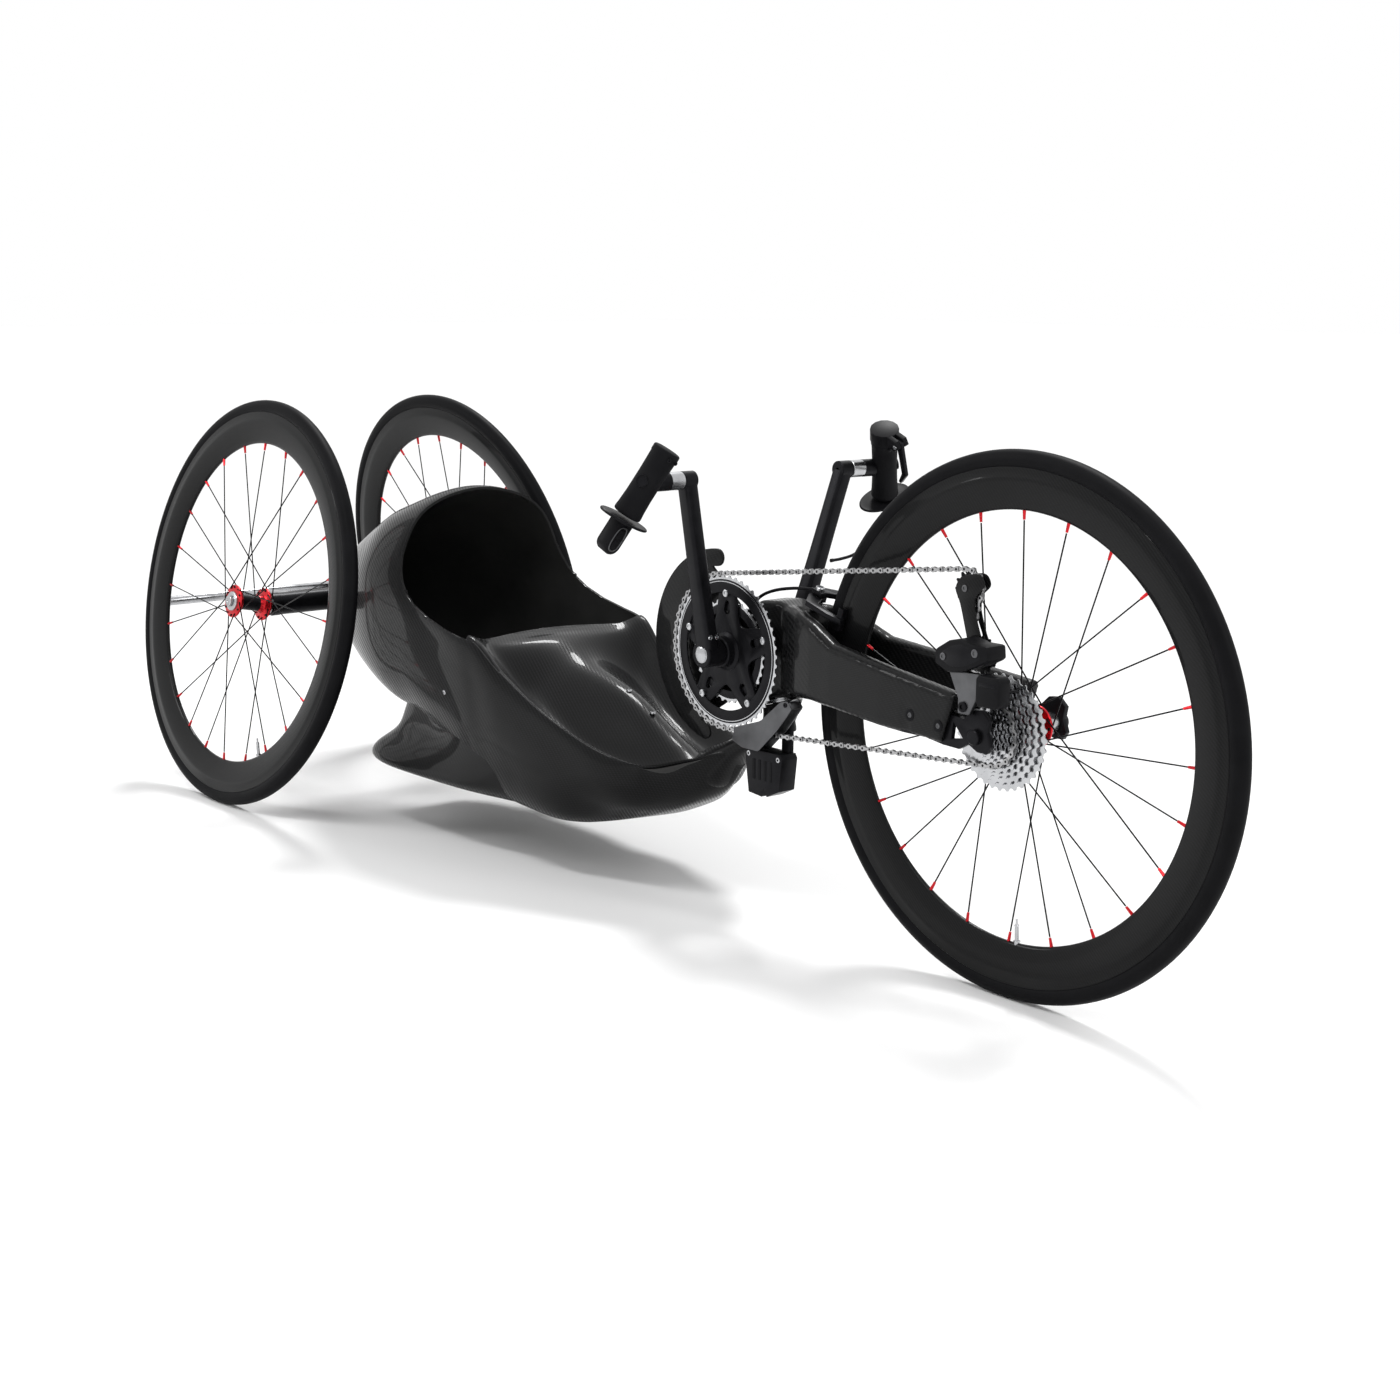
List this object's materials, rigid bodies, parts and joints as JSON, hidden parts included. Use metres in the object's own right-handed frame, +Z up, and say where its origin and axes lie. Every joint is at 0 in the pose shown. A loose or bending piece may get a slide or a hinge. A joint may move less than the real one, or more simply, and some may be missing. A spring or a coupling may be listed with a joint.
{
  "type": "handcycle",
  "caption": "Low three-wheeled racing cycle driven by hand cranks, with a carbon tub, cambered rear wheels and a steered, chain-driven front wheel.",
  "frame": {"origin": "on the ground, under the middle of the whole machine's box", "axes": "+X forward, from the rear wheels to the front wheel; +Y to the rider's left; +Z up"},
  "size_m": [2.195, 0.5694, 0.6706],
  "materials": {
    "tyre": "matt rubber",
    "carbon": "clear-coated woven carbon",
    "black": "black anodised",
    "red": "red anodised",
    "silver": "plain metal",
    "grip": "matt",
    "plastic": "matt",
    "spoke": "black",
    "cable": "satin cable housing"
  },
  "bodies": {
    "hull": {"hull_shell": "carbon", "rear_axle_tube": "black", "rear_safety_bar": "silver", "rear_left_stub_axle": "silver", "rear_right_stub_axle": "silver", "steering_neck": "carbon"},
    "rear_left_wheel": {"rear_left_tyre": "tyre", "rear_left_rim": "carbon", "rear_left_hub": "red", "rear_left_spokes_outer": "spoke", "rear_left_spokes_inner": "spoke"},
    "rear_right_wheel": {"rear_right_tyre": "tyre", "rear_right_rim": "carbon", "rear_right_hub": "red", "rear_right_spokes_outer": "spoke", "rear_right_spokes_inner": "spoke"},
    "steered_unit": {"front_fork": "carbon", "dropout_right": "black", "dropout_left": "black", "front_axle": "black", "bearing_cup_right": "silver", "bearing_cup_left": "silver", "chain_guard": "carbon", "chain": "silver", "caliper_bolt": "black", "brake_cable_lower": "cable", "derailleur_link": "silver", "derailleur_knuckle": "black", "derailleur_cage": "plastic", "derailleur_battery": "plastic", "front_derailleur_motor": "plastic"},
    "front_wheel": {"front_tyre": "tyre", "front_rim": "carbon", "front_hub": "red", "front_spokes_left": "spoke", "front_spokes_right": "spoke"},
    "cassette": {"cassette": "silver"},
    "crank": {"crank_spindle": "silver", "spider": "black", "chainring_outer": "silver", "chainring_inner": "silver", "crank_arm_right": "black", "crank_arm_left": "black", "grip_pin_right": "silver", "grip_pin_left": "silver"},
    "right_grip": {"grip_right": "grip", "hand_guard_right": "plastic", "shifter_pod": "plastic"},
    "left_grip": {"grip_left": "grip", "hand_guard_left": "plastic", "lever_bracket": "black", "brake_cable_upper": "cable"},
    "upper_button": {"shift_button_upper": "grip"},
    "lower_button": {"shift_button_lower": "grip"},
    "brake_lever": {"brake_lever": "black"},
    "caliper_right": {"caliper_arm_right": "black"},
    "caliper_left": {"caliper_arm_left": "black"},
    "guide_pulley": {"guide_pulley": "plastic"},
    "tension_pulley": {"tension_pulley": "plastic"},
    "front_cage": {"front_derailleur_cage": "silver"}
  },
  "joints": [
    {"name": "rear_left_wheel_spin", "type": "hinge", "parent": "hull", "child": "rear_left_wheel", "pos_m": [-0.72934, 0.2158, 0.32861], "axis": [0, 0.9836, 0.1805], "continuous": true},
    {"name": "rear_right_wheel_spin", "type": "hinge", "parent": "hull", "child": "rear_right_wheel", "pos_m": [-0.72934, -0.2158, 0.32861], "axis": [0, 0.9836, -0.1805], "continuous": true},
    {"name": "steering", "type": "hinge", "parent": "hull", "child": "steered_unit", "pos_m": [0.34966, 0, 0.303], "axis": [-0.2588, 0, 0.9659], "range_deg": [-15, 15]},
    {"name": "front_wheel_spin", "type": "hinge", "parent": "steered_unit", "child": "front_wheel", "pos_m": [0.76366, 0, 0.33389], "axis": [0, 1, 0], "continuous": true},
    {"name": "cassette_spin", "type": "hinge", "parent": "steered_unit", "child": "cassette", "pos_m": [0.76366, 0, 0.33389], "axis": [0, 1, 0], "continuous": true},
    {"name": "crank_spin", "type": "hinge", "parent": "steered_unit", "child": "crank", "pos_m": [0.28566, 0, 0.368], "axis": [0, 1, 0], "continuous": true},
    {"name": "right_grip_spin", "type": "hinge", "parent": "crank", "child": "right_grip", "pos_m": [0.31306, -0.212, 0.60482], "axis": [0, 1, 0], "continuous": true},
    {"name": "left_grip_spin", "type": "hinge", "parent": "crank", "child": "left_grip", "pos_m": [0.31306, 0.212, 0.60482], "axis": [0, 1, 0], "continuous": true},
    {"name": "upper_button_press", "type": "slide", "parent": "right_grip", "child": "upper_button", "axis": [-0.9205, 0, 0.3907], "range_m": [0, 0.0012], "stiffness_N_per_m": 400},
    {"name": "lower_button_press", "type": "slide", "parent": "right_grip", "child": "lower_button", "axis": [-0.9205, 0, 0.3907], "range_m": [0, 0.0012], "stiffness_N_per_m": 400},
    {"name": "brake_lever_pull", "type": "hinge", "parent": "left_grip", "child": "brake_lever", "pos_m": [0.37161, 0.19, 0.63924], "axis": [0.1527, 0.9205, 0.3597], "range_deg": [0, 10], "stiffness_Nm_per_rad": 1},
    {"name": "right_caliper_close", "type": "hinge", "parent": "steered_unit", "child": "caliper_right", "pos_m": [0.41407, 0, 0.44883], "axis": [0.3123, 0, 0.95], "range_deg": [0, 0.8]},
    {"name": "left_caliper_close", "type": "hinge", "parent": "steered_unit", "child": "caliper_left", "pos_m": [0.41407, 0, 0.44883], "axis": [0.3123, 0, 0.95], "range_deg": [-0.8, 0]},
    {"name": "guide_pulley_spin", "type": "hinge", "parent": "steered_unit", "child": "guide_pulley", "pos_m": [0.74666, 0, 0.42699], "axis": [0, 1, 0], "continuous": true},
    {"name": "tension_pulley_spin", "type": "hinge", "parent": "steered_unit", "child": "tension_pulley", "pos_m": [0.72037, 0, 0.5036], "axis": [0, 1, 0], "continuous": true},
    {"name": "front_cage_shift", "type": "slide", "parent": "steered_unit", "child": "front_cage", "axis": [0, 1, 0], "range_m": [0, 0.0065]}
  ],
  "couplings": [
    {"joint": "cassette_spin", "follows": "crank_spin", "ratio": 2.7368},
    {"joint": "guide_pulley_spin", "follows": "crank_spin", "ratio": -4.3333},
    {"joint": "tension_pulley_spin", "follows": "crank_spin", "ratio": 4.7273},
    {"joint": "right_caliper_close", "follows": "brake_lever_pull", "ratio": 0.08},
    {"joint": "left_caliper_close", "follows": "brake_lever_pull", "ratio": -0.08}
  ]
}
